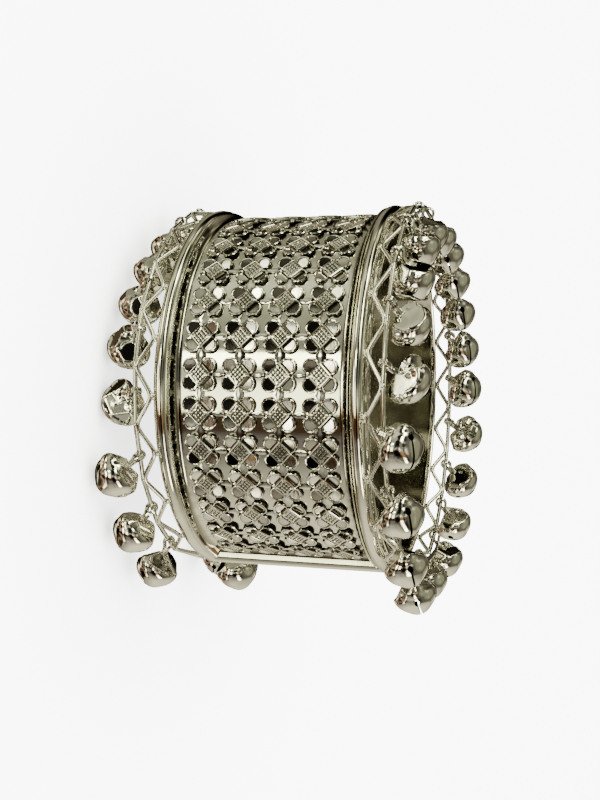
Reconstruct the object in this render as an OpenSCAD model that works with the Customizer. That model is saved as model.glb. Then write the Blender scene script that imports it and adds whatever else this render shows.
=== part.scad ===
/* [Cuff] */
// inner radius of the wrist hollow, mm
inner_radius = 30.0; // [26:0.5:36]
// thickness of the smooth sheet, mm
sheet = 0.8; // [0.6:0.1:1.2]
// half of the width over both rolled edges, mm
half_width = 18.0; // [16.5:0.25:22]
// radius of the rolled bead on each edge, mm
bead_r = 1.25; // [1:0.05:1.4]
// height of the sharp inner lip above the hollow, mm
lip_height = 2.6; // [1.8:0.1:3]
// length of each straight end, mm
end_run = 5.15; // [5.15:0.05:8]

/* [Flower strip] */
// rows of flowers round the cuff
rows = 28; // [24:1:29]
// angle from one row to the next, degrees
row_step = 11.525; // [10.5:0.005:12]
// flowers across the cuff
columns = 4; // [3:1:4]
// distance from one column to the next, mm
column_step = 6.73; // [6.2:0.01:7]
// radius of one round petal, mm
petal_r = 1.45; // [1.3:0.05:1.55]
// petal centre from the flower's centre, round the cuff, mm
petal_u = 1.38; // [1.2:0.01:1.45]
// petal centre from the flower's centre, across the cuff, mm
petal_v = 1.45; // [1.3:0.01:1.55]
// half diagonal of the centre diamond, round the cuff, mm
diamond_u = 2.1; // [1.6:0.05:2.2]
// half diagonal of the centre diamond, across the cuff, mm
diamond_v = 2.0; // [1.4:0.05:2.1]
// width of the small tabs between flowers, mm
tab_width = 1.2; // [0.8:0.1:1.4]
// thickness of the stamped sheet, mm
strip_base = 0.3; // [0.25:0.05:0.4]
// top of the petal rims above the stamped sheet's back, mm
rim_top = 0.5; // [0.4:0.05:0.6]
// top of the diamonds above the stamped sheet's back, mm
diamond_top = 0.65; // [0.5:0.05:0.8]

/* [Galleries] */
// radius of the gallery wires, mm
wire_r = 0.32; // [0.28:0.02:0.4]
// radius of the solder drops, mm
solder_r = 0.5; // [0.45:0.02:0.6]
// distance of the outer wire from the cuff's mid plane, mm
wire_z = 20.6; // [20.2:0.1:22]
// radius at which the outer wire's corners lie, mm
wire_rho = 32.9; // [32.5:0.1:34]
// radius at which the zigzag meets the rolled edge, mm
foot_rho = 32.4; // [32.3:0.05:32.6]
// distance of the zigzag's feet beyond the rolled edge, mm
foot_out = 0.05; // [0.05:0.05:0.2]
// angle of the first solder point past the middle of the gap, degrees
gallery_start = 19.5; // [18:0.5:22]
// angle of the lower gallery's last corner past the gap, degrees
lower_last = 12.0; // [12:0.5:16]
// zigzag steps of the lower gallery
lower_steps = 19.5; // [17.5:1:20.5]
// zigzag steps of the upper gallery, from the near end to the middle of the back
upper_near = 9; // [8:1:9]
// zigzag steps of the upper gallery, from the middle of the back to the far end
upper_far = 10; // [8:1:10]

/* [Bells] */
// radius of a bell's round foot, mm
bell_r = 3.6; // [3.2:0.1:3.7]
// radius of the two lobes of its heart-shaped crown, mm
lobe_r = 2.2; // [2:0.1:2.4]
// distance of each lobe's centre from the bell's axis, along the wire, mm
lobe_out = 1.7; // [1.5:0.05:1.8]
// wall of a bell, mm
bell_wall = 0.4; // [0.3:0.05:0.5]
// centre of the body from the wire that it hangs on, mm
bell_drop = 5.2; // [5:0.1:6]
// ring radius of the loop on the crown, mm
loop_r = 0.95; // [0.9:0.05:1.1]
// wire radius of the loop, mm
loop_wire = 0.27; // [0.22:0.01:0.3]
// width of the slit, mm
slit = 0.5; // [0.4:0.1:0.8]
// lean of the bells off the cuff's axis, half way round from the gap to the back, degrees
side_lean = 46; // [36:1:50]
// how much more the bells lean at the back and by the gap, degrees
more_lean = 25; // [0:1:26]

/* [Hidden] */
$fn = 48;
end_sin = 0.352;
end_cos = sqrt(1 - end_sin * end_sin);
end_angle = asin(end_sin);
strip_r = inner_radius + sheet + 0.15;
edge_depth = 3.9;
flat_half = half_width - edge_depth + 0.1;
lower_pitch = (360 - gallery_start - lower_last) / lower_steps;
lower_count = floor(lower_steps);
upper_count = upper_near + upper_far;

// depth of the corner piece cut on the mitre at each end
mitre = 4.5;
// distance of the zigzag's last feet from the cuff's ends
foot_back = 2.2;
far_back = 1.4;
// share of the way from one outer corner to the next at which each bell hangs, counted
// from the near end; the last share holds for the rest of the row
lower_shares = [0.3, 0.36, 0.45, 0.58, 0.66, 0.6, 0.53, 0.47, 0.41, 0.36];
upper_shares = [0.31, 0.34];
// most that a bell may lean along its wire, as a sine
most_along = 0.42;
// cosine of the angle past which the bells hang inward of their wire
turn_over = 0.12;
// places of the two corner bells along their short wires, and the ways that they point
lower_corner_share = 0.82;
lower_corner_way = [0.9, -0.25, 0.36];
upper_corner_share = 0.6;
upper_corner_way = [0.9, -0.2, 0.38];
// lift of the loop's ring over the wire, and the neck that holds it in the crown
loop_lift = 0.2;
neck_top = 1.0;
neck_r = 0.6;
// heights of the lobes' centres, the shoulder and the roof over the bell's centre
lobe_rise = 1.0;
shoulder = 1.5;
roof = 2.4;
// angle off the bell's foot of the round holes that end the slit, and their radius
hole_angle = 68;
hole_r = 0.6;

// unit vector, and a point at angle a, radius rho and height z
function unit(v) = v / norm(v);
function ring_point(a, rho, z) = [rho * cos(a), rho * sin(a), z];

// point of the straight end: n outward, s towards the gap, z across, side -1 or 1
function end_point(n, s, z, side) = [
  n * cos(end_angle) + s * sin(end_angle),
  side * (n * sin(end_angle) - s * cos(end_angle)),
  z
];

// section of the rolled edge: x is the radius, y the depth from the outer side
module edge_section() {
  union() {
    polygon([
      [inner_radius, 0],
      [inner_radius + 1.4, 0],
      [inner_radius + 1.6, 0.5],
      [inner_radius + 1.7, 2.9],
      [inner_radius + lip_height, 3.0],
      [inner_radius + lip_height - 0.15, 3.3],
      [inner_radius + sheet, edge_depth],
      [inner_radius, edge_depth]
    ]);
    translate([inner_radius + 1.75, 0.45 + bead_r]) circle(r = bead_r);
  }
}

// whole section of the cuff: sheet with a rolled edge on both sides
module cuff_section() {
  translate([inner_radius, -flat_half]) square([sheet, 2 * flat_half]);
  translate([0, half_width]) mirror([0, 1, 0]) edge_section();
  translate([0, -half_width]) edge_section();
}

// one straight end with its two rails and the mitred bar, laid along -y
module cuff_end() {
  s0 = end_run - mitre;
  m = half_width - mitre;
  // sheet under the last row
  translate([inner_radius, -end_run + edge_depth - 0.1, -flat_half])
    cube([sheet, end_run - edge_depth + 0.1, 2 * flat_half]);
  // rails
  for (side = [-1, 1])
    intersection() {
      rotate([90, 0, 0])
        linear_extrude(height = end_run)
          scale([1, side])
            translate([0, half_width]) mirror([0, 1, 0]) edge_section();
      translate([inner_radius - 1, 0, 0])
        rotate([90, 0, 90])
          linear_extrude(height = 6)
            polygon([
              [1, side * m],
              [-s0, side * m],
              [-end_run - 1, side * (half_width + 1)],
              [1, side * (half_width + 1)]
            ]);
    }
  // bar across the end
  intersection() {
    translate([0, -end_run, -half_width])
      linear_extrude(height = 2 * half_width) edge_section();
    translate([inner_radius - 1, 0, 0])
      rotate([90, 0, 90])
        linear_extrude(height = 6)
          polygon([
            [-s0, -m],
            [-end_run - 1, -half_width - 1],
            [-end_run - 1, half_width + 1],
            [-s0, m]
          ]);
  }
}

// straight wire between two points
module rod(p, q) {
  hull() {
    translate(p) sphere(r = wire_r, $fn = 6);
    translate(q) sphere(r = wire_r, $fn = 6);
  }
}

// drop of solder where wires meet
module drop(p) {
  translate(p) sphere(r = solder_r, $fn = 8);
}

// corners of the outer wire, then the feet of the zigzag on the rolled edge
function lower_corner(k) =
  ring_point(-(gallery_start + lower_pitch * (k + 0.5)), wire_rho, -wire_z);
function lower_foot(k) =
  ring_point(-(gallery_start + lower_pitch * k), foot_rho, -half_width - foot_out);
function upper_turn(k) =
  180 - (180 - gallery_start) * (upper_near - k) / (k < upper_near ? upper_near : upper_far);
function upper_corner(k) = ring_point(-upper_turn(k), wire_rho, wire_z);
function upper_foot(k) =
  ring_point(-(upper_turn(k) + upper_turn(k + 1)) / 2, foot_rho, half_width + foot_out);

// ends of the outer wire at the cuff's corners, side -1 or 1 of the gap
function wire_end(back, side, updown) =
  end_point(foot_rho, end_run - back, updown * (half_width + foot_out), side);

// zigzag and outer wire along the lower edge
module lower_gallery() {
  n = lower_count;
  color([0.74, 0.73, 0.69])
  union() {
    for (k = [0 : n]) {
      rod(lower_foot(k), lower_corner(k));
      drop(lower_foot(k));
      drop(lower_corner(k));
    }
    for (k = [0 : n - 1]) {
      rod(lower_corner(k), lower_foot(k + 1));
      rod(lower_corner(k), lower_corner(k + 1));
    }
    rod(wire_end(foot_back, -1, -1), lower_corner(0));
    rod(lower_corner(n), wire_end(far_back, 1, -1));
  }
}

// zigzag and outer wire along the upper edge
module upper_gallery() {
  n = upper_count;
  color([0.74, 0.73, 0.69])
  union() {
    for (k = [0 : n - 1]) {
      rod(upper_corner(k), upper_foot(k));
      rod(upper_foot(k), upper_corner(k + 1));
      rod(upper_corner(k), upper_corner(k + 1));
      drop(upper_foot(k));
    }
    for (k = [0 : n]) drop(upper_corner(k));
    rod(wire_end(foot_back, -1, 1), upper_corner(0));
    rod(upper_corner(n), wire_end(foot_back, 1, 1));
  }
}

// round part of the cuff, open over the gap between its straight ends
module cuff_round() {
  far = 2 * inner_radius;
  difference() {
    rotate_extrude() cuff_section();
    translate([0, 0, -half_width - 1])
      linear_extrude(height = 2 * half_width + 2)
        polygon([
          [0, 0],
          [far * end_cos, -far * end_sin],
          [far + 10, -far * end_sin],
          [far + 10, far * end_sin],
          [far * end_cos, far * end_sin]
        ]);
  }
}

// sheet with its rolled edges and mitred end bars
module cuff_body() {
  color([0.78, 0.77, 0.73])
  union() {
    cuff_round();
    for (side = [-1, 1])
      multmatrix([
        [end_cos, -side * end_sin, 0, 0],
        [side * end_sin, end_cos, 0, 0],
        [0, 0, 1, 0],
        [0, 0, 0, 1]
      ])
        rotate([90 - side * 90, 0, 0]) cuff_end();
  }
}

// outline of one row of joined flowers: x round the cuff, y across it
module row_outline(reach) {
  for (c = [0 : columns - 1])
    translate([0, column_step * (c - (columns - 1) / 2)]) {
      for (i = [-1, 1], j = [-1, 1])
        translate([i * petal_u, j * petal_v]) circle(r = petal_r);
      polygon([[diamond_u, 0], [0, diamond_v], [-diamond_u, 0], [0, -diamond_v]]);
      translate([-reach, -tab_width / 2]) square([2 * reach, tab_width]);
    }
  translate([-tab_width / 2, -column_step * (columns - 1) / 2])
    square([tab_width, column_step * (columns - 1)]);
}

// raised rims of the four cupped petals
module row_rims() {
  for (c = [0 : columns - 1], i = [-1, 1], j = [-1, 1])
    translate([i * petal_u, column_step * (c - (columns - 1) / 2) + j * petal_v])
      difference() {
        circle(r = petal_r);
        circle(r = petal_r - 0.4);
      }
}

// the raised diamonds, f is their size
module row_diamonds(f) {
  for (c = [0 : columns - 1])
    translate([0, column_step * (c - (columns - 1) / 2)])
      polygon([
        [f * diamond_u, 0], [0, f * diamond_v],
        [-f * diamond_u, 0], [0, -f * diamond_v]
      ]);
}

// one flat row of stamped flowers
module flower_row() {
  reach = strip_r * tan(row_step / 2) + 0.06;
  translate([strip_r, 0, 0])
    rotate([90, 0, 90]) {
      linear_extrude(height = strip_base) row_outline(reach);
      linear_extrude(height = rim_top) row_rims();
      difference() {
        linear_extrude(height = diamond_top) row_diamonds(1);
        translate([0, 0, diamond_top - 0.15])
          linear_extrude(height = 0.2) row_diamonds(0.74);
      }
    }
}

// stamped openwork strip laid on the sheet
module flower_strip() {
  color([0.8, 0.79, 0.75])
  union()
    for (k = [0 : rows - 1])
      rotate([0, 0, 180 + row_step * (k - (rows - 1) / 2)]) flower_row();
}

// round foot and low roof of a bell about its centre, r is its radius and top the roof's height
module bell_body(r, top) {
  rim = sqrt(r * r - shoulder * shoulder);
  rotate_extrude() {
    intersection() {
      circle(r = r);
      translate([0, -shoulder]) square([r, r + shoulder]);
    }
    polygon([[0, -shoulder], [rim, -shoulder], [neck_r, -top], [0, -top]]);
  }
}

// the two lobes of the crown
module bell_lobes(r) {
  for (side = [-1, 1])
    translate([0, side * lobe_out, -lobe_rise]) sphere(r = r);
}

// jingle bell: the wire runs along y through the origin, the body hangs along +z
module bell() {
  reach = bell_r * sin(hole_angle);
  difference() {
    union() {
      translate([0, 0, bell_drop]) {
        bell_body(bell_r, roof);
        bell_lobes(lobe_r);
      }
      translate([0, 0, neck_top]) cylinder(h = bell_drop - roof - neck_top + 0.2, r = neck_r);
      translate([0, 0, loop_lift])
        rotate([90, 0, 0])
          rotate_extrude() translate([loop_r, 0]) circle(r = loop_wire);
    }
    translate([0, 0, bell_drop]) {
      bell_body(bell_r - bell_wall, shoulder + 0.1);
      bell_lobes(lobe_r - bell_wall);
      translate([-slit / 2, -reach, bell_r * cos(hole_angle)])
        cube([slit, 2 * reach, bell_r]);
      for (side = [-1, 1])
        rotate([side * hole_angle, 0, 0]) cylinder(h = bell_r + 1, r = hole_r);
    }
  }
}

// place a bell: wire point p, wire direction t, pointing along u
module hang(p, t, u) {
  w = unit(t - (t * u) * u);
  x = cross(w, u);
  multmatrix([
    [x[0], w[0], u[0], p[0]],
    [x[1], w[1], u[1], p[1]],
    [x[2], w[2], u[2], p[2]],
    [0, 0, 0, 1]
  ])
    bell();
}

function share(list, k) = list[min(k, len(list) - 1)];

// direction of a bell at angle a: it leans off the axis, most at the back and by the gap, and
// towards the gap's side as far as the wire lets it; t is the part along the wire, r the part
// outward or inward
function lean_way(a, updown) =
  let (lean = side_lean + more_lean * abs(cos(a)))
  let (t = max(-most_along, min(most_along, -sin(a) * sin(lean))))
  let (r = (cos(a) > turn_over ? 1 : -1) * sqrt(sin(lean) * sin(lean) - t * t))
  [r * cos(a) - t * sin(a), r * sin(a) + t * cos(a), updown * cos(lean)];

// a bell hung between two corners of the outer wire
module wire_bell(p, q, share, updown) {
  w = p + (q - p) * share;
  color([0.76, 0.75, 0.71]) hang(w, unit(q - p), lean_way(atan2(w[1], w[0]), updown));
}

// one bell of the lower row
module lower_bell(k) {
  wire_bell(lower_corner(k), lower_corner(k + 1), share(lower_shares, k), -1);
}

// one bell of the upper row
module upper_bell(k) {
  wire_bell(upper_corner(k), upper_corner(k + 1), share(upper_shares, k), 1);
}

// a bell on the short wire from the last corner p to the cuff's far end at q
module corner_bell(p, q, share, way) {
  color([0.76, 0.75, 0.71]) hang(p + (q - p) * share, unit(q - p), unit(way));
}

module lower_corner_bell() {
  corner_bell(
    lower_corner(lower_count), wire_end(far_back, 1, -1), lower_corner_share, lower_corner_way
  );
}

module upper_corner_bell() {
  corner_bell(
    upper_corner(upper_count), wire_end(foot_back, 1, 1), upper_corner_share, upper_corner_way
  );
}

cuff_body();
flower_strip();
lower_gallery();
upper_gallery();
for (k = [1 : lower_count])
  lower_bell(k - 1);
for (k = [1 : upper_count])
  upper_bell(k - 1);
lower_corner_bell();
upper_corner_bell();
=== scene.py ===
"""Bell bangle: a wide open cuff of polished nickel, a stamped flower strip laid on it, and a
zigzag of wire with jingle bells along both edges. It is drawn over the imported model."""

import bmesh
import bpy
import numpy as np
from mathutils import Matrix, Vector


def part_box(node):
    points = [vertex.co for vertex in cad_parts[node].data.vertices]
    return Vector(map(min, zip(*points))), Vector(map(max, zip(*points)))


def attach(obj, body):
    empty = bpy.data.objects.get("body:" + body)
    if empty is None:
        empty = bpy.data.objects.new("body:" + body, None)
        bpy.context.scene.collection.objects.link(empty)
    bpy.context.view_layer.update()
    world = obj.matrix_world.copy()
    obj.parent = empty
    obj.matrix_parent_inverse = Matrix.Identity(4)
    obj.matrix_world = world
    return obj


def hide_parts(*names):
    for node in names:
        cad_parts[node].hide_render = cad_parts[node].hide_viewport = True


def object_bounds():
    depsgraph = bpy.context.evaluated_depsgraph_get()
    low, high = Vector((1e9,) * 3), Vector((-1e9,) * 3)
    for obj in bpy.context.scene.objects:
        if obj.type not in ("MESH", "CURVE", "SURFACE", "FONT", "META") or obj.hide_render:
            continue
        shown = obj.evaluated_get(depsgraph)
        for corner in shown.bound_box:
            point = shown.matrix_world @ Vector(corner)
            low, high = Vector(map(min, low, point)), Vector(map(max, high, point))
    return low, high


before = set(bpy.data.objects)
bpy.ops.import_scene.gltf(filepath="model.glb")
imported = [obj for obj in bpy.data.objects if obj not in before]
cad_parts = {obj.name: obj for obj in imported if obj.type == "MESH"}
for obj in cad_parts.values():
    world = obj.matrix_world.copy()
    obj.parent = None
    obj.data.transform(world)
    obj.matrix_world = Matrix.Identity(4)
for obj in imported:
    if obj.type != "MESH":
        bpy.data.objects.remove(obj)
cad_low, cad_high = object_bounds()

# Cuff: one band of nickel-plated sheet, its four borders rolled over into a round bead with a
# sharp, slightly ragged lip on the inner side. Rails and end bars meet in mitred corners.
mm = 0.001
half_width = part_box("cuff_body")[1].z / mm
wrist_radius = 30.0
sheet_gauge = 0.8
bead_radius = 1.25
bead_depth = 1.7
bead_height = 1.75
rim_radius = wrist_radius + bead_height
flank_depth = 4.3
crumple_size = 0.005
lip_wander = 0.35
end_length = 5.15
end_sine = 0.352
arc_length = (np.pi - np.arcsin(end_sine)) * rim_radius
half_length = arc_length + end_length
rail_samples = 400
bar_samples = 40


def wrap(run, across, height):
    """Lays flat points on the cuff. run is the length from the middle of the back, measured at
    the rim: up to the round part's end it is an angle, and past it the point goes straight on
    along the tangent. height is the distance from the axis and across the place along it."""
    side = np.sign(run)
    round_run = np.minimum(np.abs(run), arc_length)
    straight = np.abs(run) - round_run
    angle = np.pi + side * round_run / rim_radius
    x = height * np.cos(angle) - side * straight * np.sin(angle)
    y = height * np.sin(angle) + side * straight * np.cos(angle)
    return np.stack(np.broadcast_arrays(x, y, across), -1)


def grid_faces(rows, columns, close_rows=False, close_columns=False, start=0):
    """Quads between neighbours of a rows by columns grid of points, numbered row by row."""
    i = np.arange(rows if close_rows else rows - 1)[:, None]
    j = np.arange(columns if close_columns else columns - 1)[None, :]
    a = (i % rows) * columns + j % columns
    b = (i % rows) * columns + (j + 1) % columns
    c = ((i + 1) % rows) * columns + (j + 1) % columns
    d = ((i + 1) % rows) * columns + j % columns
    return start + np.stack([a, b, c, d], -1).reshape(-1, 4)


def join(patches):
    """Puts patches of points, quads and painted-shade values into one, renumbering the quads."""
    starts = np.cumsum([0] + [len(points) for points, _, _ in patches])
    points = np.concatenate([points for points, _, _ in patches])
    faces = np.concatenate([faces + s for (_, faces, _), s in zip(patches, starts)])
    hollow = np.concatenate([hollow for _, _, hollow in patches])
    return points, faces, hollow


def make_piece(name, patch, finish, stands_for, sharp_angle=38, fill=False):
    """Turns a patch in millimetres into a smooth closed mesh that rides on the part. The value
    kept on the points, 0 on proud metal and 1 deep in a recess, is painted shade with a little
    tarnish, for the finish to darken."""
    points, faces, hollow = patch
    mesh = bpy.data.meshes.new(name)
    mesh.from_pydata((points * mm).tolist(), [], faces.tolist())
    layer = mesh.attributes.new("hollow", "FLOAT", "POINT")
    layer.data.foreach_set("value", hollow.astype(np.float32))
    shell = bmesh.new()
    shell.from_mesh(mesh)
    bmesh.ops.remove_doubles(shell, verts=shell.verts, dist=1e-7)
    if fill:
        open_edges = [edge for edge in shell.edges if edge.is_boundary]
        bmesh.ops.holes_fill(shell, edges=open_edges, sides=0)
    bmesh.ops.recalc_face_normals(shell, faces=shell.faces)
    shell.to_mesh(mesh)
    shell.free()
    mesh.shade_smooth()
    mesh.set_sharp_from_angle(angle=np.radians(sharp_angle))
    mesh.materials.append(finish)
    piece = bpy.data.objects.new(name, mesh)
    bpy.context.scene.collection.objects.link(piece)
    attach(piece, "root")
    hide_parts(stands_for)
    return piece


class Signal:
    """One shader socket. Arithmetic on it adds Math nodes, so a formula reads as written."""

    def __init__(self, tree, socket):
        self.tree = tree
        self.socket = socket

    def math(self, operation, *operands):
        """One Math node on these operands, each a number or a Signal."""
        node = self.tree.nodes.new("ShaderNodeMath")
        node.operation = operation
        for slot, operand in zip(node.inputs, operands):
            if isinstance(operand, Signal):
                self.tree.links.new(operand.socket, slot)
            else:
                slot.default_value = operand
        return Signal(self.tree, node.outputs[0])

    def __add__(self, other):
        return self.math("ADD", self, other)

    def __sub__(self, other):
        return self.math("SUBTRACT", self, other)

    def __rsub__(self, other):
        return self.math("SUBTRACT", other, self)

    def __mul__(self, other):
        return self.math("MULTIPLY", self, other)

    def __truediv__(self, other):
        return self.math("DIVIDE", self, other)

    __radd__ = __add__
    __rmul__ = __mul__

    def clamped(self):
        """The value, but no less than 0 and no more than 1."""
        return self.math("MINIMUM", self.math("MAXIMUM", self, 0.0), 1.0)


def add_node(tree, kind, settings=None, **inputs):
    """Adds a node: settings are its properties, set first, and inputs are values or links."""
    node = tree.nodes.new(kind)
    for key, value in (settings or {}).items():
        if key == "stops":
            elements = node.color_ramp.elements
            while len(elements) < len(value):
                elements.new(0.5)
            for element, (place, colour) in zip(elements, value):
                element.position = place
                element.color = (*colour, 1.0)
        else:
            setattr(node, key, value)
    for key, value in inputs.items():
        found = [s for s in node.inputs if s.enabled and s.name.replace(" ", "_") == key]
        if isinstance(value, Signal):
            tree.links.new(value.socket, found[0])
        else:
            found[0].default_value = value
    return node


def noise(tree, place, scale, detail, roughness=0.5):
    """A cloudy pattern around 0.5 over the given places, finer as scale grows."""
    node = add_node(
        tree, "ShaderNodeTexNoise", Vector=place, Scale=scale, Detail=detail, Roughness=roughness
    )
    return Signal(tree, node.outputs["Fac"])


def mix(tree, share, under, over, blend="MIX"):
    """A colour that goes from under to over as share goes from 0 to 1."""
    ends = [end if isinstance(end, Signal) else (*end, 1.0) for end in (under, over)]
    node = add_node(
        tree,
        "ShaderNodeMix",
        {"data_type": "RGBA", "blend_type": blend},
        Factor=share,
        A=ends[0],
        B=ends[1],
    )
    return Signal(tree, node.outputs["Result"])


def nickel(name, clean, stain_and_shade_colour, polish, ripple, ripple_scale):
    """Polished nickel plate: clean colour on proud metal, a dark colour where the painted shade
    kept on the points is high or the film of tarnish is thick, roughness from polish up, and a
    slow ripple of the sheet."""
    material = bpy.data.materials.new(name)
    material.use_nodes = True
    tree = material.node_tree
    shader = tree.nodes["Principled BSDF"]
    place = Signal(tree, add_node(tree, "ShaderNodeTexCoord").outputs["Object"])
    film = noise(tree, place, 170.0, 3.0, 0.55)
    grain = noise(tree, place, 2600.0, 2.0)
    wave = noise(tree, place, ripple_scale, 1.0)
    kept = add_node(tree, "ShaderNodeAttribute", {"attribute_name": "hollow"})
    recess_shade = Signal(tree, kept.outputs["Fac"])
    # Painted shade: the recess value mixes in the dark colour where shade would fall, on top of
    # the tarnish film's real stains.
    stain_and_shade = ((film - 0.5) * 0.7 + recess_shade * 0.9 + 0.05).clamped()
    colour = mix(tree, stain_and_shade, clean, stain_and_shade_colour)
    tree.links.new(colour.socket, shader.inputs["Base Color"])
    shader.inputs["Metallic"].default_value = 1.0
    rough = (polish + stain_and_shade * 0.10 + (grain - 0.5) * 0.04).clamped()
    tree.links.new(rough.socket, shader.inputs["Roughness"])
    relief = wave * ripple + grain * 0.004
    bump = add_node(tree, "ShaderNodeBump", Strength=1.0, Distance=mm, Height=relief)
    tree.links.new(bump.outputs["Normal"], shader.inputs["Normal"])
    return material


def rolled_section():
    """Section of a rolled border: column 0 is the depth in from the outer side, column 1 the
    distance from the axis, column 2 how ragged and column 3 how much painted shade darkens it. It
    runs from the wrist side round the outer flank, over the bead's arc, down its groove and over
    the lip."""
    under = [[flank_depth, 0.0], [2.8, 0.0], [1.3, 0.0], [0.25, 0.0], [0.04, 0.08]]
    flank = [[0.0, 0.5], [0.02, 1.2], [0.12, 1.38], [0.32, 1.47]]
    turn = np.radians(np.linspace(-8, 176, 20))
    bead = np.stack(
        [bead_depth - bead_radius * np.cos(turn), bead_height + bead_radius * np.sin(turn)], -1
    )
    lip = [[2.97, 1.66], [3.0, 2.2], [3.04, 2.5], [3.12, 2.6], [3.22, 2.52], [3.33, 2.15]]
    slope = [[3.46, 1.72], [3.64, 1.32], [3.9, 1.0], [flank_depth, sheet_gauge]]
    shape = np.concatenate([under, flank, bead, lip, slope])
    ragged = np.zeros(len(shape))
    ragged[-8:-4] = [0.45, 1.0, 0.9, 0.3]
    hollow = np.zeros(len(shape))
    # Painted shade where the flank meets the bead, in the groove, and on the lip's inner slope
    # down to the sheet.
    hollow[8] = 0.5
    hollow[-12:-8] = [0.0, 0.05, 0.15, 0.1]
    hollow[-4:] = [0.3, 0.6, 0.7, 0.4]
    return np.column_stack([shape[:, 0], wrist_radius + shape[:, 1], ragged, hollow])


def border_path():
    """Once round the border rectangle as two coordinates from -1 to 1: along, then across."""
    rail = np.linspace(-1, 1, rail_samples + 1)[:-1]
    bar = np.linspace(-1, 1, bar_samples + 1)[:-1]
    one, other = np.ones(rail_samples), np.ones(bar_samples)
    along = np.concatenate([rail, other, -rail, -other])
    across = np.concatenate([-one, bar, one, -bar])
    return along, across


def cuff_patch():
    """The section carried round the border, each point of depth d on the rectangle that lies d
    inside it, so that corners are mitred. Its lip goes up and sideways by a chance amount. Then
    come the sheet's two faces as plain grids."""
    section = rolled_section()
    along, across = border_path()
    chance = np.random.default_rng(11)
    count = len(along)
    crumple = chance.normal(0, crumple_size, count)
    crumple = crumple + crumple_size * np.sin(np.arange(count) * 1.7)
    depth, height = section[None, :, 0], section[None, :, 1]
    ragged = crumple[:, None] * section[None, :, 2]
    inset = depth + lip_wander * ragged
    edge = wrap(
        along[:, None] * (half_length - inset),
        across[:, None] * (half_width - inset),
        height + ragged,
    )
    size = len(section)
    rolled = (
        edge.reshape(-1, 3),
        grid_faces(count, size, close_rows=True),
        np.tile(section[:, 3], count),
    )
    rows = np.linspace(-1, 1, rail_samples + 1)[:, None] * (half_length - flank_depth)
    columns = np.linspace(-1, 1, bar_samples + 1)[None, :] * (half_width - flank_depth)
    faces = grid_faces(rail_samples + 1, bar_samples + 1)
    plain = np.zeros(rows.size * columns.size)
    inner = wrap(rows, columns, np.full((1, 1), wrist_radius)).reshape(-1, 3)
    outer = wrap(rows, columns, np.full((1, 1), wrist_radius + sheet_gauge)).reshape(-1, 3)
    # Painted shade: the wrist-side face of the sheet is darkened heavily, the outer face only a
    # touch.
    return join([rolled, (inner, faces, plain + 0.7), (outer, faces, plain + 0.1)])


# The second colour serves both the tarnish film and the painted shade.
cuff_finish = nickel(
    "cuff_nickel", (0.80, 0.80, 0.74), (0.16, 0.145, 0.10), 0.035, 0.035, 190.0
)
make_piece("cuff", cuff_patch(), cuff_finish, "cuff_body")

# Flower strip: a thin openwork strip stamped from nickel sheet, rows of four joined flowers. Each
# has four cupped petals with rolled rims and a raised diamond with a waffle of small blocks.
strip_lift = 0.15
strip_radius = wrist_radius + sheet_gauge + strip_lift
strip_pieces = 4
strip_sharp_angle = 32
flower_rows = 28
row_step = np.radians(11.525)
flower_columns = 4
column_step = 6.73
petal_radius = 1.45
petal_along, petal_across = 1.38, 1.45
diamond_along, diamond_across = 2.1, 2.0
waffle_blocks = 4
waffle_half = 0.76
tab_length = 1.9
tab_beside_width, tab_below_width = 1.0, 1.7
flower_lean = 0.011


def petal(along, across):
    """A cup turned about its own centre: outer wall, rolled rim, then a floor that dips
    towards the middle of the flower. The outer wall and the foot of the rim's inner side are
    painted dark as shade."""
    reach = [1.0, 1.0, 0.955, 0.89, 0.81, 0.745, 0.7, 0.6, 0.3, 0.0]
    rise = [0.0, 0.22, 0.47, 0.54, 0.52, 0.38, 0.25, 0.25, 0.25, 0.25]
    tilt = [0.0, 0.0, 0.0, 0.0, 0.0, 0.1, 0.3, 0.3, 0.3, 0.3]
    # Painted shade: a dark outline on the outer wall and in the foot of the rim's inner side.
    painted_shade = [1.0, 1.0, 0.55, 0.0, 0.0, 0.5, 0.9, 0.1, 0.0, 0.0]
    reach, rise, tilt = petal_radius * np.array(reach), np.array(rise), np.array(tilt)
    turn = np.arange(16) * np.pi / 8
    u = reach[:, None] * np.cos(turn)
    v = reach[:, None] * np.sin(turn)
    outward = (u * np.sign(along) + v * np.sign(across)) / np.sqrt(2)
    height = rise[:, None] + tilt[:, None] * outward
    points = np.stack([along + u, across + v, height], -1).reshape(-1, 3)
    return points, grid_faces(len(reach), 16, close_columns=True), np.repeat(painted_shade, 16)


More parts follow.
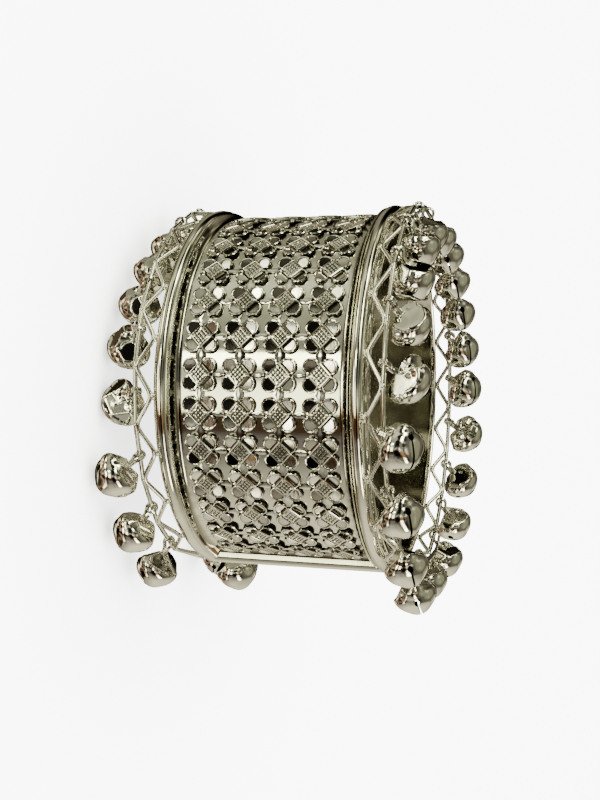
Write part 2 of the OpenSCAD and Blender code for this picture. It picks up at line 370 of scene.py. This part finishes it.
def diamond():
    """A square grid turned on its corner. Outside, height and painted shade follow the larger of
    the
    two distances from the middle: groove, raised rim, skirt. Inside, a block stands wherever both
    coordinates lie on one, and grooves part the blocks. Grooves and skirt are painted dark as
    shade."""
    pitch = 2 * waffle_half / waffle_blocks
    block = np.array([-0.5, -0.27, 0.0, 0.27]) * pitch
    inner = (-waffle_half + pitch * (np.arange(waffle_blocks)[:, None] + 0.5) + block).ravel()
    inner = np.append(inner, waffle_half)
    top = np.append(np.tile([0.0, 0.85, 1.0, 0.85], waffle_blocks), 0.0)
    outer = np.array([0.82, 0.89, 0.96, 1.0, 1.0])
    line = np.concatenate([-outer[::-1], inner, outer])
    top = np.concatenate([np.zeros(5), top, np.zeros(5)])
    skirt = np.zeros(len(line))
    skirt[[0, -1]] = 1.0
    p, q = line[:, None], line[None, :]
    far = np.maximum(np.abs(p), np.abs(q))
    block_top = top[:, None] * top[None, :]
    rings = [waffle_half, 0.82, 0.89, 0.96, 1.0]
    height = np.interp(far, rings, [0.4, 0.58, 0.65, 0.6, 0.4]) + 0.2 * block_top
    height = height * (1 - np.maximum(skirt[:, None], skirt[None, :]))
    # Painted shade: the grooves between blocks and round the rim, and the skirt, are darkened;
    # block tops stay clean.
    painted_shade = np.interp(far, [0.7, *rings], [0.95, 1.0, 0.2, 0.0, 0.3, 1.0])
    painted_shade = painted_shade * (1 - block_top)
    u = diamond_along * (p + q) / 2
    v = diamond_across * (p - q) / 2
    points = np.stack(np.broadcast_arrays(u, v, height), -1).reshape(-1, 3)
    return points, grid_faces(len(line), len(line)), painted_shade.ravel()


def tab(along, across, length, width, turned):
    """A small bridge between two flowers: a bar that is arched across, higher and narrower
    towards its ends, with a skirt down to the sheet all round, painted darker as shade."""
    t = np.array([-1.0, -1.0, -0.5, 0.0, 0.5, 1.0, 1.0])[:, None]
    w = np.array([-1.0, -1.0, -0.5, 0.0, 0.5, 1.0, 1.0])[None, :]
    skirt = np.zeros(7)
    skirt[[0, -1]] = 1.0
    height = 0.14 + 0.2 * (1 - w**2) * (0.4 + 0.6 * t**2)
    side = np.maximum(skirt[:, None], skirt[None, :])
    height = height * (1 - side)
    span = w * width / 2 * (1 - 0.25 * t**2)
    step = t * length / 2 + 0 * w
    u, v = (step, span) if turned else (span, step)
    points = np.stack([along + u, across + v, height], -1).reshape(-1, 3)
    # Painted shade: the skirt is much darker than the bar's top.
    return points, grid_faces(7, 7), (0.2 + 0.7 * side).ravel()


def strip_patch(rows, seed):
    """One flower with its two tabs, copied to every place of these rows and leant by a hair,
    then bent round the cuff."""
    row_pitch = row_step * strip_radius
    corners = [(i * petal_along, j * petal_across) for i in (-1, 1) for j in (-1, 1)]
    flower = join([petal(*corner) for corner in corners] + [diamond()])
    beside = tab(0.0, column_step / 2, tab_length, tab_beside_width, False)
    below = tab(row_pitch / 2, 0.0, tab_length, tab_below_width, True)
    chance = np.random.default_rng(seed)
    patches = []
    for row in rows:
        for column in range(flower_columns):
            parts = [flower]
            if column < flower_columns - 1:
                parts.append(beside)
            if row < flower_rows - 1:
                parts.append(below)
            points, faces, hollow = join(parts)
            lean = chance.normal(0, flower_lean, 2)
            lift = np.where(points[:, 2] > 0.01, points[:, :2] @ lean, 0.0)
            run = (row - (flower_rows - 1) / 2) * row_step + points[:, 0] / strip_radius
            across = (column - (flower_columns - 1) / 2) * column_step + points[:, 1]
            bent = wrap(run * rim_radius, across, strip_radius + points[:, 2] + lift)
            patches.append((bent, faces, hollow))
    return join(patches)


# The second colour is near black: painted shade in the grooves and round the petals, and tarnish.
strip_finish = nickel(
    "strip_nickel", (0.90, 0.90, 0.86), (0.03, 0.027, 0.018), 0.04, 0.015, 420.0
)
for part, rows in enumerate(np.split(np.arange(flower_rows), strip_pieces), 1):
    make_piece(
        f"stamped_strip_{part}",
        strip_patch(rows, part),
        strip_finish,
        "flower_strip",
        strip_sharp_angle,
        fill=True,
    )

# Galleries: along each edge a wire bent in zigzag, its inner bends soldered to the rolled edge
# and its outer bends to a second wire that runs round outside them.
wire_radius, zigzag_radius = 0.4, 0.38
wire_bend, zigzag_bend = 0.9, 1.2
wire_height = 20.6
corner_radius = 32.9
foot_radius = 32.4
foot_height = half_width - 0.25
gallery_start = np.radians(19.5)
lower_last = np.radians(12.0)
lower_steps = 19.5
lower_count = 20
upper_near, upper_far = 9, 10
foot_back, far_back = 2.2, 1.4
solder_sink = 0.15


def ring_points(angle, radius, height):
    """Points at the given angles round the axis, counted back from the gap."""
    angle = -np.asarray(angle, float)
    return np.stack(
        [radius * np.cos(angle), radius * np.sin(angle), np.full(angle.shape, height)], -1
    )


def wire_end(back, side, height):
    """Where the outer wire meets a cuff end, back from its edge; side is -1 near, 1 far."""
    run = -side * (half_length - back)
    return wrap(np.array([run]), np.array([height]), np.array([foot_radius]))


def rounded(route, bend):
    """Each inner point of a route becomes five points of a quadratic curve that cuts its corner
    off: it starts and ends at the distance bend from the corner and is drawn towards it."""
    before = route[:-2] - route[1:-1]
    after = route[2:] - route[1:-1]
    start = route[1:-1] + bend * before / np.linalg.norm(before, axis=1, keepdims=True)
    stop = route[1:-1] + bend * after / np.linalg.norm(after, axis=1, keepdims=True)
    t = np.linspace(0, 1, 5)[None, :, None]
    middle = route[1:-1][:, None]
    curve = (1 - t) ** 2 * start[:, None] + 2 * t * (1 - t) * middle + t**2 * stop[:, None]
    return np.concatenate([route[:1], curve.reshape(-1, 3), route[-1:]])


def tube(route, radius, across, sides=10):
    """A round wire carried along a route: at each point a ring of points lies square to the
    route, counted from the given across direction. Both ends are closed to a point."""
    way = np.gradient(route, axis=0)
    way /= np.linalg.norm(way, axis=1, keepdims=True)
    side = across - np.sum(across * way, 1, keepdims=True) * way
    side /= np.linalg.norm(side, axis=1, keepdims=True)
    other = np.cross(way, side)
    turn = np.arange(sides) * 2 * np.pi / sides
    ring = np.cos(turn)[:, None] * side[:, None] + np.sin(turn)[:, None] * other[:, None]
    caps = np.repeat(route[[0, -1]][:, None], sides, 1)
    points = np.concatenate([caps[:1], route[:, None] + radius * ring, caps[1:]])
    faces = grid_faces(len(points), sides, close_columns=True)
    return points.reshape(-1, 3), faces, np.full(points.shape[0] * sides, 0.1)


def solder_drop(centre, size, chance):
    """A lump of solder: a ball of eight by six faces, stretched a little by chance."""
    polar = np.linspace(0, np.pi, 7)[:, None]
    turn = np.arange(8) * np.pi / 4
    ball = np.stack(
        np.broadcast_arrays(
            np.sin(polar) * np.cos(turn), np.sin(polar) * np.sin(turn), np.cos(polar)
        ),
        -1,
    )
    radial = centre / np.linalg.norm(centre[:2]) * [1, 1, 0]
    along = np.cross([0, 0, 1], radial)
    scale = np.asarray(size) * chance.uniform(0.85, 1.15, 3)
    points = centre + ball @ (np.stack([radial, along, [0.0, 0.0, 1.0]]) * scale[:, None])
    return points.reshape(-1, 3), grid_faces(7, 8, close_columns=True), np.full(56, 0.15)


def gallery_patch(corners, feet, ends, updown, seed):
    """Zigzag, outer wire and solder of one edge. corners and feet take turns on the zigzag."""
    chance = np.random.default_rng(seed)
    first_is_foot = len(feet) >= len(corners)
    zigzag = np.empty((len(corners) + len(feet), 3))
    zigzag[0 if first_is_foot else 1 :: 2] = feet
    zigzag[1 if first_is_foot else 0 :: 2] = corners
    outer = np.concatenate([ends[:1], corners, ends[1:]])
    patches = []
    for route, bend, radius in (
        (zigzag, zigzag_bend, zigzag_radius),
        (outer, wire_bend, wire_radius),
    ):
        line = rounded(route, bend)
        patches.append(tube(line, radius, line * [1, 1, 0]))
    reach = [0, 0, -solder_sink * updown]
    for point in feet:
        patches.append(solder_drop(point + reach, (0.36, 0.7, 0.42), chance))
    for point in corners:
        patches.append(solder_drop(point, (0.42, 0.6, 0.42), chance))
    for point in ends:
        patches.append(solder_drop(point + reach, (0.45, 0.6, 0.6), chance))
    return join(patches)


lower_pitch = (2 * np.pi - gallery_start - lower_last) / lower_steps
lower_turns = gallery_start + lower_pitch * np.arange(lower_count)
lower_corners = ring_points(lower_turns + lower_pitch / 2, corner_radius, -wire_height)
lower_feet = ring_points(lower_turns, foot_radius, -foot_height)
lower_ends = np.concatenate(
    [wire_end(foot_back, -1, -foot_height), wire_end(far_back, 1, -foot_height)]
)
near_turns = np.linspace(gallery_start, np.pi, upper_near + 1)
far_turns = np.linspace(np.pi, 2 * np.pi - gallery_start, upper_far + 1)
upper_turns = np.concatenate([near_turns, far_turns[1:]])
upper_corners = ring_points(upper_turns, corner_radius, wire_height)
upper_feet = ring_points((upper_turns[:-1] + upper_turns[1:]) / 2, foot_radius, foot_height)
upper_ends = np.concatenate(
    [wire_end(foot_back, -1, foot_height), wire_end(foot_back, 1, foot_height)]
)
wire_finish = nickel("wire_nickel", (0.88, 0.88, 0.84), (0.20, 0.18, 0.13), 0.04, 0.006, 600.0)
make_piece(
    "lower_wires",
    gallery_patch(lower_corners, lower_feet, lower_ends, -1, 21),
    wire_finish,
    "lower_gallery",
)
make_piece(
    "upper_wires",
    gallery_patch(upper_corners, upper_feet, upper_ends, 1, 22),
    wire_finish,
    "upper_gallery",
)

# Bells: each is pressed from thin nickel sheet. The lower half is a smooth ball, slit along the
# wire's direction between two round holes. Above a crease the sheet is folded up into a heart of
# flat facets, one lobe on each side of the doubled wire loop that holds the outer wire.
foot_ball = 3.6
lobe_ball = 2.3
lobe_out, lobe_rise = 1.85, 0.95
roof_rim, roof_top = (3.27, 1.5), (0.6, 2.4)
bell_gauge = 0.4
bell_drop = 5.2
loop_radius = 0.95
loop_wire = 0.25
loop_lift = 0.2
slit_half = 3.0
slit_reach = 68.0
hole_reach = 9.6
crease_angle = 96.0
crease_wave = 4.0
crown_inset = 0.07
facet_counts, facet_lifts, facet_shares = (6, 9), (20, 62), (0.905, 0.975)
crumple_count = 5
crumple_leans, crumple_widths, crumple_depths = (118, 158), (5, 10), (0.05, 0.15)
equator = 90.0
around = 96
side_lean, more_lean = 46.0, 25.0
most_along = 0.42
turn_over = 0.12


def smooth(x, low, high):
    """0 below low, 1 above high, and an even S between them."""
    t = np.clip((x - low) / (high - low), 0, 1)
    return t * t * (3 - 2 * t)


def ball_reach(way, centre, radius):
    """How far a ray from the bell's centre goes inside a ball: along the ray to the point next
    to the ball's centre, and from there half a chord on."""
    along = way @ centre
    return along + np.sqrt(radius**2 - centre @ centre + along**2)


def heart_reach(way):
    """How far a ray goes inside the plain body: the farthest of the foot's ball under its low
    conical roof and of the two lobes, blended softly where they meet. Round the foot, 38
    degrees from its middle, it is drawn in a little, and just below the crease it swells."""
    up = -way[..., 2]
    flat = np.sqrt(np.maximum(1 - up**2, 0))
    fall = (roof_rim[0] - roof_top[0]) / (roof_top[1] - roof_rim[1])
    roof = (roof_rim[0] + fall * roof_rim[1]) / np.maximum(flat + fall * up, 0.3)
    reach = [np.minimum(foot_ball, roof)]
    for side in (-1, 1):
        reach.append(ball_reach(way, np.array([0, side * lobe_out, -lobe_rise]), lobe_ball))
    reach = np.stack(reach)
    soft = 0.05
    top = reach.max(0)
    polar = np.degrees(np.arccos(np.clip(-up, -1, 1)))
    drawn_in = 0.2 * np.exp(-(((polar - 38) / 20) ** 2))
    swollen = 0.16 * np.exp(-(((polar - 84) / 18) ** 2))
    return top + soft * np.log(np.exp((reach - top) / soft).sum(0)) - (drawn_in - swollen)


def crown_facets(chance):
    """The planes that the crown is folded to: each is a direction and its distance from the
    bell's centre. They stand in a ring above the crease, some steep and some nearly flat."""
    count = chance.integers(*facet_counts)
    turn = np.arange(count) * 2 * np.pi / count + chance.uniform(-0.35, 0.35, count)
    lift = np.radians(chance.uniform(*facet_lifts, count))
    way = np.stack([np.cos(lift) * np.cos(turn), np.cos(lift) * np.sin(turn), -np.sin(lift)], -1)
    return way, heart_reach(way) * chance.uniform(*facet_shares, count)


def bell_skin(way, chance):
    """The skin's distance from the centre in each direction: the heart, cut to the crown's
    facets above a crease that waves twice round, and a little narrower there. Each crumple is a
    shallow dent in the crown that fades with the square of the distance from its middle."""
    past = np.degrees(np.arccos(np.clip(way[..., 2], -1, 1)))
    turn = np.arctan2(way[..., 0], way[..., 1])
    past = past - crease_angle - crease_wave * np.cos(2 * turn + chance.uniform(-0.4, 0.4))
    skin = heart_reach(way)
    facet_way, facet_reach = crown_facets(chance)
    cut = facet_reach / np.maximum(way @ facet_way.T, 0.2)
    folded = np.minimum(skin, cut.min(-1)) - crown_inset
    skin = skin + (folded - skin) * smooth(past, 0, 4)
    for _ in range(crumple_count):
        lean = np.radians(chance.uniform(*crumple_leans))
        spin = chance.uniform(0, 2 * np.pi)
        middle = [np.sin(lean) * np.sin(spin), np.sin(lean) * np.cos(spin), np.cos(lean)]
        width = np.radians(chance.uniform(*crumple_widths))
        away = np.arccos(np.clip(way @ np.array(middle), -1, 1)) / width
        skin = skin - chance.uniform(*crumple_depths) * np.exp(-(away**2))
    return skin


def bell_body(chance):
    """The shell as one grid of rings: out from the inner pole, over the slit's wall, then from
    the slit's outline, a long oval with round ends, to a circle, and up over the crown."""
    turn = np.arange(around) * 360 / around
    t = np.radians(turn)
    tip = slit_reach + hole_reach
    slit_x = tip * np.cos(t)
    hole = hole_reach**2 - np.maximum(np.abs(slit_x) - slit_reach, -hole_reach) ** 2
    inside = np.abs(slit_x) < slit_reach
    slit_y = np.sqrt(np.maximum(hole, 0))
    slit_y = np.where(inside, np.maximum(slit_y, slit_half), slit_y) * np.sign(np.sin(t) + 1e-9)
    share = np.linspace(0, 1, 13)[:, None] ** 1.15
    x = slit_x * (1 - share) + equator * np.cos(t) * share
    y = slit_y * (1 - share) + equator * np.sin(t) * share
    lower_polar = np.hypot(x, y)
    lower_turn = np.degrees(np.arctan2(y, x))
    upper_polar = np.concatenate([np.arange(92, 178, 2.8), [180.0]])[:, None] + 0 * t
    upper_turn = np.broadcast_to(turn, upper_polar.shape)
    inner_rings = [11, 6, 2, 0]
    inner_polar = np.concatenate([upper_polar[::-6], lower_polar[inner_rings]])
    inner_turn = np.concatenate([upper_turn[::-6], lower_turn[inner_rings]])
    polar = np.radians(np.concatenate([inner_polar, lower_polar, upper_polar]))
    spin = np.radians(np.concatenate([inner_turn, lower_turn, upper_turn]))
    way = np.stack(
        [np.sin(polar) * np.sin(spin), np.sin(polar) * np.cos(spin), np.cos(polar)], -1
    )
    inner_rows = len(inner_polar)
    skin = bell_skin(way, chance)
    skin[:inner_rows] = np.minimum(skin, heart_reach(way))[:inner_rows] - bell_gauge
    skin[-1] = skin[-1].mean()
    skin[0] = skin[0].mean()
    # Painted shade: dents and facets drawn in below the plain body darken, the inside of the shell
    # is fully dark, and a dark line runs along the crease.
    hollow = np.clip((heart_reach(way) - skin) / 0.8, 0, 1) * 0.45
    hollow[:inner_rows] = 1.0
    crease = np.degrees(polar) - crease_angle
    hollow = np.maximum(hollow, 0.4 * np.exp(-((crease - 2) / 3) ** 2))
    points = way * skin[..., None] + [0, 0, bell_drop]
    faces = grid_faces(len(points), around, close_columns=True)
    return points.reshape(-1, 3), faces, hollow.ravel()


def bell_loop():
    """Two strands side by side, each a ring round the outer wire with both legs pinched
    together and let into the crown."""
    turn = np.radians(np.linspace(-52, 232, 17))
    ring = np.stack(
        [loop_radius * np.cos(turn), 0 * turn, loop_lift - loop_radius * np.sin(turn)], -1
    )
    legs = np.array([[0.3, 0.0, 1.55], [0.25, 0.0, 2.9]])
    route = np.concatenate([legs[::-1], ring, legs * [-1, 1, 1]])
    strands = []
    for offset in (-0.2, 0.2):
        shifted = route + [0, offset, 0]
        strands.append(tube(shifted, loop_wire, np.tile([0.0, 1.0, 0.0], (len(route), 1)), 8))
    return join(strands)


def unit(v):
    """The same direction with length one."""
    return v / np.linalg.norm(v)


def bell_patch(hook, wire_way, hang_way, seed):
    """Turns one bell so that its loop lies square to the wire and its foot points along
    hang_way, and shifts it to its hook on the wire."""
    chance = np.random.default_rng(seed)
    points, faces, hollow = join([bell_body(chance), bell_loop()])
    ring_axis = unit(wire_way - (wire_way @ hang_way) * hang_way)
    axes = np.stack([np.cross(ring_axis, hang_way), ring_axis, hang_way])
    return hook + points @ axes, faces, hollow


def lean_way(angle, updown):
    """The way a bell at this angle points. Its lean off the cuff's axis grows towards the back
    and the gap. The lean goes to the gap's side as far as the wire lets it: t is the part along
    the wire, r the part outward or inward."""
    lean = np.radians(side_lean + more_lean * abs(np.cos(angle)))
    t = np.clip(-np.sin(angle) * np.sin(lean), -most_along, most_along)
    r = (1 if np.cos(angle) > turn_over else -1) * np.sqrt(np.sin(lean) ** 2 - t**2)
    x = r * np.cos(angle) - t * np.sin(angle)
    y = r * np.sin(angle) + t * np.cos(angle)
    return np.array([x, y, updown * np.cos(lean)])


def add_bell(name, node, p, q, share, way, seed):
    """A bell on the straight of wire from p to q, at that share of the way."""
    patch = bell_patch(p + (q - p) * share, unit(q - p), way, seed)
    make_piece(name, patch, bell_finish, node, 34)


def hang_bells(row, corners, shares, updown, seed):
    """A bell on each straight of the outer wire. shares says how far along it, counted from
    the near end, and its last value holds for the rest of the row."""
    for number, (p, q) in enumerate(zip(corners[:-1], corners[1:]), 1):
        share = shares[min(number, len(shares)) - 1]
        hook = p + (q - p) * share
        way = lean_way(np.arctan2(hook[1], hook[0]), updown)
        add_bell(f"{row}_jingle_{number}", f"{row}_bell_{number}", p, q, share, way, seed + number)


# The second colour serves both tarnish and the painted shade in dents, the crease and the shell's
# inside.
bell_finish = nickel("bell_nickel", (0.85, 0.85, 0.81), (0.16, 0.14, 0.10), 0.035, 0.008, 330.0)
lower_shares = (0.3, 0.36, 0.45, 0.58, 0.66, 0.6, 0.53, 0.47, 0.41, 0.36)
upper_shares = (0.31, 0.34)
hang_bells("lower", lower_corners, lower_shares, -1, 140)
hang_bells("upper", upper_corners, upper_shares, 1, 200)
for row, corner, end, share, way in (
    ("lower", lower_corners[-1], lower_ends[1], 0.82, (0.9, -0.25, 0.36)),
    ("upper", upper_corners[-1], upper_ends[1], 0.6, (0.9, -0.2, 0.38)),
):
    add_bell(f"{row}_corner_jingle", f"{row}_corner_bell", corner, end, share, unit(way), 300)

# Floor: a wide pale sheet just under the lowest bells. It takes the bangle's soft shadow, and
# the polished metal doesn't mirror it.
floor_gap = 0.05
floor_height = cad_low.z - floor_gap * mm
floor_half = 8.0
floor_corners = ((-1, -1), (1, -1), (1, 1), (-1, 1))
floor_mesh = bpy.data.meshes.new("floor")
floor_mesh.from_pydata(
    [(x * floor_half, y * floor_half, floor_height) for x, y in floor_corners], [], [(0, 1, 2, 3)]
)
floor_finish = bpy.data.materials.new("pale_floor")
floor_finish.use_nodes = True
floor_shader = floor_finish.node_tree.nodes["Principled BSDF"]
floor_shader.inputs["Base Color"].default_value = (0.93, 0.93, 0.93, 1.0)
floor_shader.inputs["Roughness"].default_value = 0.9
floor_shader.inputs["Specular IOR Level"].default_value = 0.1
floor_mesh.materials.append(floor_finish)
floor = bpy.data.objects.new("floor", floor_mesh)
bpy.context.scene.collection.objects.link(floor)
floor.visible_glossy = False

# Room: the camera sees plain white, and the metal mirrors a room. x points to the gap's side, y
# away from the camera and z up, and every tone is a formula of the direction looked in.
world = bpy.data.worlds.new("soft_room")
bpy.context.scene.world = world
world.use_nodes = True
room = world.node_tree


def ramp(stops, place):
    """The colour at this place, from 0 to 1, on a row of colour stops."""
    node = add_node(room, "ShaderNodeValToRGB", {"stops": stops}, Fac=place)
    return Signal(room, node.outputs["Color"])


way = Signal(room, add_node(room, "ShaderNodeTexCoord").outputs["Generated"])
split = add_node(room, "ShaderNodeSeparateXYZ", Vector=way)
x, y, z = (Signal(room, split.outputs[i]) for i in range(3))

# The walls' tone goes round the room, 0.5 towards the camera. It is multiplied by the tone of
# each level, from straight down to straight up, with a bright line low down, a pale band, a dark
# one and a second bright line above it.
azimuth = x.math("ARCTAN2", x, 0.0 - y) / (2 * np.pi) + 0.5
wall_stops = [
    (0.00, (0.24, 0.22, 0.15)),
    (0.14, (0.24, 0.22, 0.15)),
    (0.235, (0.36, 0.36, 0.23)),
    (0.305, (0.95, 0.95, 0.65)),
    (0.37, (0.43, 0.43, 0.28)),
    (0.42, (0.34, 0.34, 0.25)),
    (0.50, (0.42, 0.42, 0.33)),
    (0.548, (0.06, 0.036, 0.018)),
    (0.580, (0.06, 0.036, 0.018)),
    (0.594, (0.20, 0.18, 0.15)),
    (0.63, (0.22, 0.2, 0.16)),
    (0.66, (0.45, 0.43, 0.31)),
    (0.72, (0.85, 0.80, 0.53)),
    (0.80, (1.45, 1.35, 0.95)),
    (0.90, (0.80, 0.75, 0.52)),
    (1.00, (0.24, 0.22, 0.15)),
]
level_stops = [
    (0.00, (0.8, 0.75, 0.7)),
    (0.08, (0.36, 0.25, 0.20)),
    (0.15, (0.32, 0.22, 0.18)),
    (0.17, (5.0, 5.0, 4.6)),
    (0.20, (5.0, 5.0, 4.6)),
    (0.22, (0.5, 0.45, 0.4)),
    (0.30, (1.14, 1.14, 1.14)),
    (0.46, (1.14, 1.14, 1.14)),
    (0.52, (0.16, 0.15, 0.14)),
    (0.62, (0.10, 0.09, 0.08)),
    (0.66, (4.5, 4.5, 4.2)),
    (0.72, (4.5, 4.5, 4.2)),
    (0.75, (0.3, 0.28, 0.25)),
    (0.84, (0.9, 0.9, 0.85)),
    (0.90, (0.2, 0.18, 0.15)),
    (1.00, (0.9, 0.9, 0.85)),
]
tone = mix(room, 1.0, ramp(wall_stops, azimuth), ramp(level_stops, z * 0.5 + 0.5), "MULTIPLY")

# Clutter makes pale patches and small lamps, but not in the pale band, which stays clean. The
# room is darker behind the bangle, most of all straight behind it.
band_level = -0.31
off_level = z.math("ABSOLUTE", z - band_level)
off_band = ((off_level - 0.15) / 0.1).clamped()
clutter = noise(room, way, 1.9, 1.0)
pale_patches = ((clutter - 0.47) / 0.06).clamped()
lamps = ((clutter - 0.57) / 0.03).clamped()
straight_behind = ((y - 0.8) / 0.12).clamped()
behind = ((y - 0.2) / 0.3).clamped() * off_band
gain = off_band * (pale_patches * 1.4 + lamps * 5.0 - 0.85) + 1.0
gain = gain * (1.0 - straight_behind * 0.85)
gain = gain * (1.0 - behind * 0.85)
furnished = mix(room, 1.0, tone, gain, "MULTIPLY")

# A ceiling closes the room above, lighter straight up. On the gap's side is a table top that
# gets brighter towards the gap's middle and browner further down.
ceiling_share = ((z - 0.62) / 0.12).clamped() * 0.85
ceiling = mix(room, ((z - 0.82) / 0.08).clamped(), (0.16, 0.15, 0.11), (0.36, 0.36, 0.22))
roofed = mix(room, ceiling_share, furnished, ceiling)
table_side = x + y * 0.35
glow = ((table_side - 0.68) / 0.3).clamped()
table_top = mix(room, glow, (0.38, 0.34, 0.25), (1.2, 1.12, 0.76))
low_down = ((-0.35 - z) / 0.35).clamped() * 0.8
table = mix(room, low_down, table_top, (0.42, 0.34, 0.27))
with_table = mix(room, ((table_side - 0.66) / 0.12).clamped(), roofed, table)

# A window of two panes stands on the camera's side at the level of the pale band.
pane_stops = [
    (0.433, (0.0, 0.0, 0.0)),
    (0.440, (1.0, 1.0, 1.0)),
    (0.458, (1.0, 1.0, 1.0)),
    (0.467, (0.04, 0.04, 0.04)),
    (0.487, (0.03, 0.03, 0.03)),
    (0.496, (0.33, 0.33, 0.33)),
    (0.541, (0.42, 0.42, 0.42)),
    (0.550, (0.0, 0.0, 0.0)),
]
opening = ((0.12 - off_level) / 0.04).clamped() * ramp(pane_stops, azimuth)
mirrored = mix(room, opening, with_table, (13.0, 13.0, 7.6))
seen = Signal(room, add_node(room, "ShaderNodeLightPath").outputs["Is Camera Ray"])
shown = mix(room, seen, mirrored, (10.0, 10.0, 10.0))
room.links.new(shown.socket, room.nodes["Background"].inputs["Color"])

# Lamp and camera: one very wide soft lamp from above, which the metal doesn't mirror, and a
# camera that looks down by 17 degrees, with the cuff's axis to the right in its picture and the
# middle of the cuff's back at the top. It was fitted to the rows of flowers.
lamp_power = 32.0
lamp_width = np.radians(150)
sun = bpy.data.lights.new("soft_sun", "SUN")
sun.energy = lamp_power
sun.angle = lamp_width
sun_object = bpy.data.objects.new("soft_sun", sun)
bpy.context.scene.collection.objects.link(sun_object)
sun_object.rotation_euler = (np.radians(12), np.radians(-10), 0)
sun_object.visible_glossy = False

camera = bpy.data.cameras.new("camera")
camera.lens = 48.76
camera.sensor_width = 36.0
camera.clip_start = 0.01
camera.clip_end = 30.0
camera_object = bpy.data.objects.new("camera", camera)
bpy.context.scene.collection.objects.link(camera_object)
bpy.context.scene.camera = camera_object
camera_place = np.array([2.31, -193.86, 55.63])
look_down = np.radians(16.642)
roll = np.radians(1.1426)
gap_turn = np.radians(-0.75)
right = np.array([0.0, np.sin(look_down), np.cos(look_down)])
up = np.array([-1.0, 0.0, 0.0])
backward = np.array([0.0, -np.cos(look_down), np.sin(look_down)])
camera_axes = np.stack(
    [right * np.cos(roll) + up * np.sin(roll), up * np.cos(roll) - right * np.sin(roll), backward],
    -1,
)
turned = np.array(
    [
        [np.cos(gap_turn), -np.sin(gap_turn), 0],
        [np.sin(gap_turn), np.cos(gap_turn), 0],
        [0, 0, 1],
    ]
)
matrix = np.eye(4)
matrix[:3, :3] = turned @ camera_axes
matrix[:3, 3] = turned @ camera_place * mm
camera_object.matrix_world = matrix.T.tolist()
